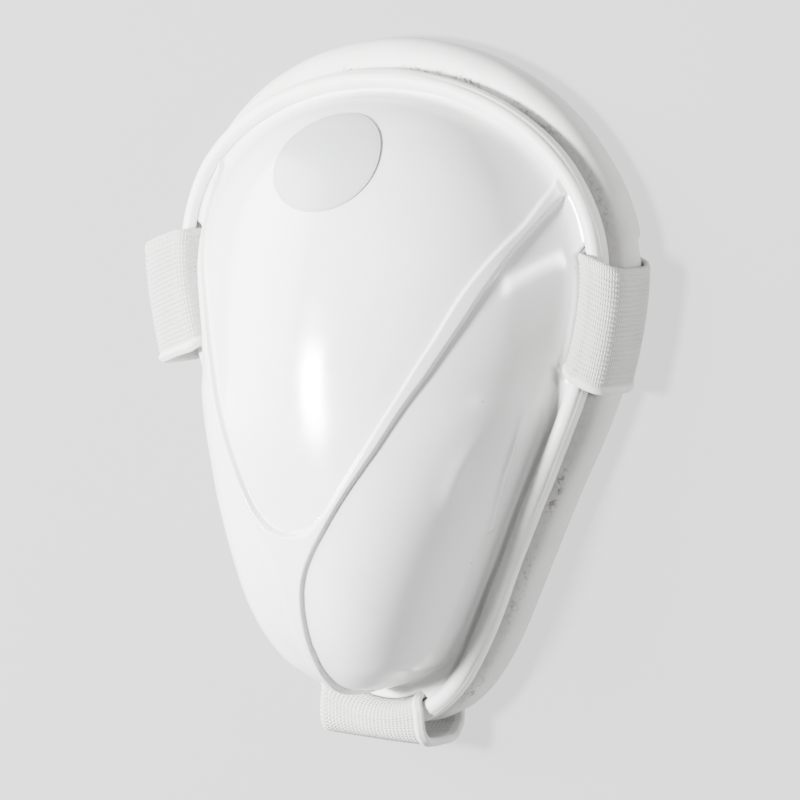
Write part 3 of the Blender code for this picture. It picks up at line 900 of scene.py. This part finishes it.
padded_roll = rolled_ring("padded_roll", PAD_ROWS, PAD_TUBE, pad_place, pad_seam)
padded_roll.data.materials.append(
    leather_material("roll_leather", ("#CCCCCA", "#D8D7D5"), "#5F5B55", 0.75 * MM, 0.46))
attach(padded_roll, "root")
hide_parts("rim_pad")


# The three elastic loops
# Closed bands of white woven elastic, threaded through the notches in the flange and round
# edge and roll. Raised cords run along each band, and both its edges are hemmed.

BAND_TURN = 3.4 * MM
BAND_SLACK = 5.2 * MM
CORD_SPACING = 1.17 * MM
CORD_RISE = 0.13 * MM
COLUMN_SPACING = 0.52 * MM
HEM_WIDTH = 1.7 * MM
ROLLED_HEM = 0.50 * MM
FLAT_HEM = 0.12 * MM
HEM_RAMP = 0.4 * MM
BAND_AROUND = 168
FACE_POINTS = 150
BACK_POINTS = 40
EDGE_POINTS = 6

# A band's middle line where it turns under the roll: (out, up), shares of BAND_TURN
BAND_INNER_TURN = (
    (0.47, 0.00),
    (0.09, 0.32),
    (0.00, 1.00),
)
BAND_OUTER_TURN = (
    (0.38, 0.47),
    (0.94, 0.00),
)

# Its shoulder outside the edge: (out from the crest as a share of the way to the outer leg,
# down from the top as a share of BAND_TURN)
BAND_SHOULDER = (
    (0.00, 0.03),
    (0.45, 0.12),
    (0.80, 0.47),
    (0.97, 1.24),
)

# Each loop: its own name, the model's node, its place, slip of its outside round the rim, how far
# it stands off the roll and over the edge as shares of BAND_SLACK, how straight it runs outside
LOOPS = (
    ("toe_band", "toe_loop", LOOP_PLACES[0], 0.0, 0.36, 0.04, 0.95),
    ("right_band", "right_loop", LOOP_PLACES[1], -3.5 * MM, 0.05, 0.05, 0.30),
    ("left_band", "left_loop", LOOP_PLACES[2], 3.9 * MM, 1.0, 0.45, 0.30),
)


def loop_path(centre, bulge, lift):
    """Middle line of a band in section, (out, up) from its underside round the inside."""
    half = pad_half_width(centre)
    stand = GAP + BAND_THICK / 2
    inner = pad_reach(centre) - 2 * half - stand
    outer = pad_reach(centre) + stand + bulge
    top = RIM_PLANE + BINDING_HALF_HEIGHT + stand + lift
    low = BAND_THICK / 2
    slot_line = -BINDING_HALF_WIDTH - stand
    crest = 0.42 * BINDING_HALF_WIDTH
    path = [(inner + out * BAND_TURN, low + up * BAND_TURN) for out, up in BAND_INNER_TURN]
    path += [
        (inner, PAD_HEIGHT * 0.80),
        (slot_line, RIM_PLANE - 0.55 * BINDING_HALF_HEIGHT),
        (slot_line, RIM_PLANE + 0.52 * BINDING_HALF_HEIGHT),
        (slot_line + 0.50 * BINDING_HALF_WIDTH, top - 0.26 * BINDING_HALF_HEIGHT),
        (slot_line + 1.25 * BINDING_HALF_WIDTH, top),
    ]
    path += [(crest + out * (outer - crest), top - down * BAND_TURN) for out, down in BAND_SHOULDER]
    path += [(outer, PAD_HEIGHT * 0.72), (outer - 0.06 * BAND_TURN, PAD_HEIGHT * 0.42)]
    path += [(outer - out * BAND_TURN, low + up * BAND_TURN) for out, up in BAND_OUTER_TURN]
    return [Vector(point) for point in path]


def rim_bend(distance):
    """Radius that the rim turns on at a place, over a band's width."""
    first = rim_outward(turn_at(distance - BAND_WIDTH / 2))
    last = rim_outward(turn_at(distance + BAND_WIDTH / 2))
    return BAND_WIDTH / first.angle(last)


def band_section(width, rolled):
    """Points round a band's cross-section, (across, off its middle line), one hem rolled over."""
    flat = width / 2 - BAND_THICK / 2
    points = []
    for i in range(FACE_POINTS + 1):
        across = -flat + 2 * flat * i / FACE_POINTS
        edge = flat - abs(across)
        cord = CORD_RISE * math.cos(2 * math.pi * across / CORD_SPACING)
        cord *= smooth_step(HEM_WIDTH, HEM_WIDTH + HEM_RAMP, edge)
        rise = ROLLED_HEM if across * rolled > 0 else FLAT_HEM
        hem = rise * math.sqrt(math.sin(math.pi * min(edge / HEM_WIDTH, 1.0)))
        points.append((across, BAND_THICK / 2 + cord + hem))
    for i in range(1, EDGE_POINTS):
        angle = math.pi * (0.5 - i / EDGE_POINTS)
        points.append((flat + BAND_THICK / 2 * math.cos(angle), BAND_THICK / 2 * math.sin(angle)))
    for i in range(BACK_POINTS + 1):
        points.append((flat - 2 * flat * i / BACK_POINTS, -BAND_THICK / 2))
    for i in range(1, EDGE_POINTS):
        angle = math.pi * (1.5 - i / EDGE_POINTS)
        points.append((-flat + BAND_THICK / 2 * math.cos(angle), BAND_THICK / 2 * math.sin(angle)))
    return points


def build_band(name, node, loop_place, slip, bulge, lift, straight):
    """Sweep a band's section round its path, which leans with the rim or runs straight."""
    _, centre, width, _ = loop_place
    raw = loop_path(centre, bulge * BAND_SLACK, lift * BAND_SLACK)
    path = even_places(smooth_run(raw, 12, closed=True), BAND_AROUND)
    inside = min(point.x for point in path)
    outside = max(point.x for point in path)
    length = sum((b - a).length for a, b in zip(path, path[1:] + path[:1]))
    squares = []
    for i, point in enumerate(path):
        along = path[(i + 1) % BAND_AROUND] - path[i - 1]
        squares.append(Vector((-along.y, along.x)).normalized())
    anchor = 0.0 if node == "toe_loop" else centre
    bend = rim_bend(anchor)
    outward = rim_outward(turn_at(anchor))
    sideways = Vector((-outward.y, outward.x, 0.0))
    rolled = -1 if node == "right_loop" else 1
    section = band_section(width, rolled)
    tube = len(section)

    def place(i, column):
        across, off = section[column]
        point = path[i] + squares[i] * off
        share = (point.x - inside) / (outside - inside)
        shift = centre - anchor + across + slip * share
        reach = max(point.x, 0.0)
        curved = rim_place(anchor + shift / (1 + reach / bend), point.x, point.y)
        level = rim_place(anchor, point.x, point.y) + sideways * shift
        spot = curved.lerp(level, straight * min(reach / outside, 1.0))
        # The weave and its hems are pressed flat where the band lies on the floor
        return Vector((spot.x, spot.y, max(spot.z, 0.0)))

    def hem(i, column):
        edge = (width - BAND_THICK) / 2 - section[column][0] * rolled
        return smooth_step(HEM_WIDTH + 0.3 * MM, HEM_WIDTH - 0.1 * MM, edge)

    band = rolled_ring(name, BAND_AROUND, tube, place, hem)
    layer = band.data.uv_layers.active.data
    for spot in layer:
        across = section[round(spot.uv.y * tube) % tube][0]
        spot.uv = (spot.uv.x * length, across)
    band.data.materials.append(elastic)
    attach(band, "root")
    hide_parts(node)
    return band


# White polyester elastic: each cord is wrapped by columns of stitches, with a slightly uneven,
# matt colour and painted shade in the hollows between the cords and the gaps between the columns
elastic, shader = start_material("woven_elastic", "#DCDCDA", 0.82, 1.5)
where = add(elastic, "ShaderNodeUVMap", uv_map="UVMap").outputs["UV"]
parts = add(elastic, "ShaderNodeSeparateXYZ", links={"Vector": where})
columns = add(elastic, "ShaderNodeMath", {1: 2 * math.pi / COLUMN_SPACING}, {0: parts.outputs["X"]},
              operation="MULTIPLY")
column_wave = add(elastic, "ShaderNodeMath", links={0: columns.outputs[0]}, operation="SINE")
cords = add(elastic, "ShaderNodeMath", {1: 2 * math.pi / CORD_SPACING}, {0: parts.outputs["Y"]},
            operation="MULTIPLY")
cord_wave = add(elastic, "ShaderNodeMath", links={0: cords.outputs[0]}, operation="COSINE")
stitch = add(elastic, "ShaderNodeMath",
             links={0: column_wave.outputs[0], 1: cord_wave.outputs[0]}, operation="MULTIPLY")
object_place = add(elastic, "ShaderNodeTexCoord").outputs["Object"]
fibres = add(elastic, "ShaderNodeTexNoise", {"Scale": 1 / (0.45 * MM), "Detail": 3.0},
             {"Vector": object_place})
uneven = add(elastic, "ShaderNodeTexNoise", {"Scale": 1 / (6 * MM), "Detail": 3.0},
             {"Vector": object_place})
knots = add(elastic, "ShaderNodeMath",
            links={0: stitch.outputs[0], 1: column_wave.outputs[0]}, operation="ADD")
hemmed = add(elastic, "ShaderNodeAttribute", attribute_name="seam").outputs["Fac"]
woven = add(elastic, "ShaderNodeMath", {0: 1.0}, {1: hemmed}, operation="SUBTRACT").outputs[0]
weave = add(elastic, "ShaderNodeMath", links={0: knots.outputs[0], 1: woven},
            operation="MULTIPLY")
height = add(elastic, "ShaderNodeMath",
             links={0: weave.outputs[0], 1: fibres.outputs["Fac"]}, operation="ADD")
body = ramp(elastic, uneven.outputs["Fac"], ((0.3, "#CFCFCD"), (0.7, "#DCDCDA")))
# Painted shade: the hollows between the cords are darkened toward grey, away from the hems
cord_valley_shade = add(elastic, "ShaderNodeMapRange",
             {"From Min": -1.0, "From Max": 0.4, "To Min": 0.75, "To Max": 0.0},
             {"Value": cord_wave.outputs[0]})
painted_cord_shade = add(elastic, "ShaderNodeMath", links={0: cord_valley_shade.outputs[0], 1: woven},
              operation="MULTIPLY")
shaded = mix_colour(elastic, painted_cord_shade.outputs[0], body, linear("#B4B4B1"))
# Painted shade: the low gaps between the stitch columns are darkened toward grey, away from the hems
gap = add(elastic, "ShaderNodeMapRange",
          {"From Min": -1.0, "From Max": 0.2, "To Min": 0.75, "To Max": 0.0},
          {"Value": column_wave.outputs[0]})
painted_column_shade = add(elastic, "ShaderNodeMath", links={0: gap.outputs[0], 1: woven}, operation="MULTIPLY")
column_shaded = mix_colour(elastic, painted_column_shade.outputs[0], shaded, linear("#B0B0AD"))
link(elastic, column_shaded, shader.inputs["Base Color"])
bump = add(elastic, "ShaderNodeBump", {"Strength": 0.8, "Distance": 0.09 * MM},
           {"Height": height.outputs[0]})
link(elastic, bump.outputs["Normal"], shader.inputs["Normal"])
shader.inputs["Sheen Weight"].default_value = 0.25
shader.inputs["Sheen Roughness"].default_value = 0.5

for row in LOOPS:
    build_band(*row)


# The round label
# A thin disc of clear film stuck to the dome near the waist end, left blank.

LABEL_RADIUS = 15.0 * MM
LABEL_THICK = 0.25 * MM
LABEL_FROM_END = 18.95 * MM
LABEL_STAND = 0.05 * MM

label_at = HALF_LENGTH - LABEL_FROM_END
near = Vector((label_at - LABEL_RADIUS, cup_height(0.0, label_at - LABEL_RADIUS)))
far = Vector((label_at + LABEL_RADIUS, cup_height(0.0, label_at + LABEL_RADIUS)))
lean = (far.x - near.x) / (far - near).length
bpy.ops.mesh.primitive_uv_sphere_add(segments=128, ring_count=48, radius=1.0)
round_label = start_piece("round_label")
select_corners(round_label, lambda co: co.z < -0.001)
bpy.ops.mesh.delete(type="VERT")
bpy.ops.object.mode_set(mode="OBJECT")
layer = round_label.data.attributes.new("reach", "FLOAT", "POINT")
for corner in round_label.data.vertices:
    reach = math.hypot(corner.co.x, corner.co.y)
    layer.data[corner.index].value = reach
    across = corner.co.x * LABEL_RADIUS
    along = label_at + corner.co.y * LABEL_RADIUS * lean
    place = Vector((across, along, cup_height(across, along)))
    lift = LABEL_STAND + LABEL_THICK + moulding_wave(across, along)
    corner.co = place + cup_square(across, along) * lift + MIDDLE
face_out(round_label)
if sum(face.normal.z for face in round_label.data.polygons) < 0:
    round_label.data.flip_normals()
film_wall = round_label.modifiers.new("Film", "SOLIDIFY")
film_wall.thickness = LABEL_THICK
film_wall.offset = -1.0
bpy.ops.object.modifier_apply(modifier="Film")

# Clear polyester film over white plastic: a shade greyer than the dome, satin, with a faint
# cut line near its edge
film, shader = start_material("clear_film", "#D3D4D4", 0.26, 1.5)
reach = add(film, "ShaderNodeAttribute", attribute_name="reach")
edge_line = ramp(film, reach.outputs["Fac"], (
    (0.0, "#B8B9B9"),
    (0.935, "#B8B9B9"),
    (0.965, "#ACADAD"),
    (0.985, "#C0C1C1"),
    (1.0, "#9C9D9D"),
))
link(film, edge_line, shader.inputs["Base Color"])
where = add(film, "ShaderNodeTexCoord").outputs["Object"]
ripple = add(film, "ShaderNodeTexNoise", {"Scale": 1 / (4 * MM), "Detail": 3.0},
             {"Vector": where})
bump = add(film, "ShaderNodeBump", {"Strength": 0.3, "Distance": 0.03 * MM},
           {"Height": ripple.outputs["Fac"]})
link(film, bump.outputs["Normal"], shader.inputs["Normal"])
round_label.data.materials.append(film)
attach(round_label, "root")
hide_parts("label")


# Studio floor, lights and camera
# A white sweep, a key softbox high over the guard's left, a large soft one low on the left and
# a small weak one low on the right.

SWEEP_SIZE = 3.0
SWEEP_DROP = 0.0002
LAMPS_AIM = 0.03
CAMERA_DISTANCE = 1.143
CAMERA_SIDE_STEP = 3.5 * MM

bpy.ops.object.select_all(action="DESELECT")
bpy.ops.mesh.primitive_plane_add(size=SWEEP_SIZE, location=(0.0, 0.0, 0.0))
floor = start_piece("floor")
floor.data.transform(Matrix.Translation((0.0, 0.0, -SWEEP_DROP)))
# Matt white paper that glows like a light table, so that the guard's shadow stays faint
sweep, shader = start_material("white_sweep", "#666666", 0.9, 1.3)
shader.inputs["Specular IOR Level"].default_value = 0.0
shader.inputs["Emission Color"].default_value = linear("#FFFFFF")
shader.inputs["Emission Strength"].default_value = 1.35
floor.data.materials.append(sweep)

world = bpy.data.worlds.new("studio")
world.use_nodes = True
world.node_tree.nodes["Background"].inputs["Color"].default_value = linear("#FFFFFF")
world.node_tree.nodes["Background"].inputs["Strength"].default_value = 0.06
bpy.context.scene.world = world


def softbox(name, direction, distance, size, power):
    """An area light that faces the guard from a direction."""
    lamp = bpy.data.lights.new(name, "AREA")
    lamp.shape = "RECTANGLE"
    lamp.size, lamp.size_y = size
    lamp.energy = power
    holder = bpy.data.objects.new(name, lamp)
    bpy.context.scene.collection.objects.link(holder)
    away = Vector(direction).normalized()
    side = Vector((0.0, 1.0, 0.0)).cross(away).normalized()
    turned = Matrix((side, away.cross(side), away)).transposed().to_4x4()
    place = away * distance + Vector((0.0, 0.0, LAMPS_AIM))
    holder.matrix_world = Matrix.Translation(place) @ turned


softbox("key", (-0.42, 0.04, 0.90), 0.8, (0.13, 0.16), 38.0)
softbox("small", (0.87, 0.10, 0.34), 0.7, (0.07, 0.10), 2.5)
softbox("fill", (-0.84, 0.27, 0.47), 1.2, (0.9, 0.9), 50.0)

# Seen from the right and a little toward the waist end, as the photograph was taken
back = Vector((0.6117, 0.1132, 0.783)).normalized()
right = Vector((0.0, 1.0, 0.0)).cross(back).normalized()
up = back.cross(right)
target = MIDDLE + Vector((CAMERA_SIDE_STEP, 0.0, RIM_PLANE))
view = bpy.data.cameras.new("photograph")
view.sensor_width = 36.0
view.lens = 216.0
view.clip_end = 10.0
camera = bpy.data.objects.new("photograph", view)
bpy.context.scene.collection.objects.link(camera)
turned = Matrix((right, up, back)).transposed().to_4x4()
camera.matrix_world = Matrix.Translation(target + back * CAMERA_DISTANCE) @ turned
bpy.context.scene.camera = camera
